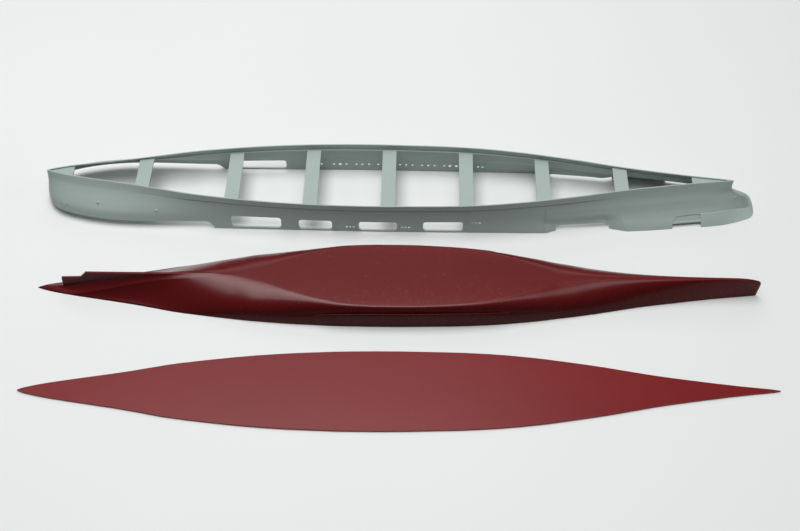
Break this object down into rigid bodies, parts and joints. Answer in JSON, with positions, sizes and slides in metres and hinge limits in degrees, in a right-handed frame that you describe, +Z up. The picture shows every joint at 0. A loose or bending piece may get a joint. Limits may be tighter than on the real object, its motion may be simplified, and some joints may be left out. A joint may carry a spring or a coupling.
{
  "type": "ship model hull set",
  "caption": "Waterline ship-model hull set lying keel up: an open upper hull with crossbars, a hollow underwater hull and a flat waterline plate.",
  "frame": {"origin": "middle of the set's outline box, on the table the three mouldings lie on", "axes": "+X towards the bows along the upper hull's centreline, +Y across from the flat plate to the upper hull, +Z up from the table (the ship's keel direction)"},
  "size_m": [0.3735, 0.169, 0.0188],
  "materials": {
    "grey_styrene": "satin moulded",
    "maroon_styrene": "glossy moulded",
    "red_styrene": "satin moulded"
  },
  "bodies": {
    "upper_hull": {"port_side_wall": "grey_styrene", "starboard_side_wall": "grey_styrene", "port_waterline_lip": "grey_styrene", "starboard_waterline_lip": "grey_styrene", "stern_shelf": "grey_styrene", "bow_shelf": "grey_styrene", "crossbar_1": "grey_styrene", "crossbar_2": "grey_styrene", "crossbar_3": "grey_styrene", "crossbar_4": "grey_styrene", "crossbar_5": "grey_styrene", "crossbar_6": "grey_styrene", "crossbar_7": "grey_styrene"},
    "lower_hull": {"lower_hull_shell": "maroon_styrene", "stern_skeg": "maroon_styrene", "port_bilge_keel": "maroon_styrene", "starboard_bilge_keel": "maroon_styrene"},
    "waterline_plate": {"waterline_plate": "red_styrene"}
  },
  "joints": [
    {"name": "lower_hull_lift", "type": "slide", "parent": "upper_hull", "child": "lower_hull", "axis": [0, 0, 1], "range_m": [0, 0.06]},
    {"name": "waterline_plate_lift", "type": "slide", "parent": "upper_hull", "child": "waterline_plate", "axis": [0, 0, 1], "range_m": [0, 0.06]}
  ]
}
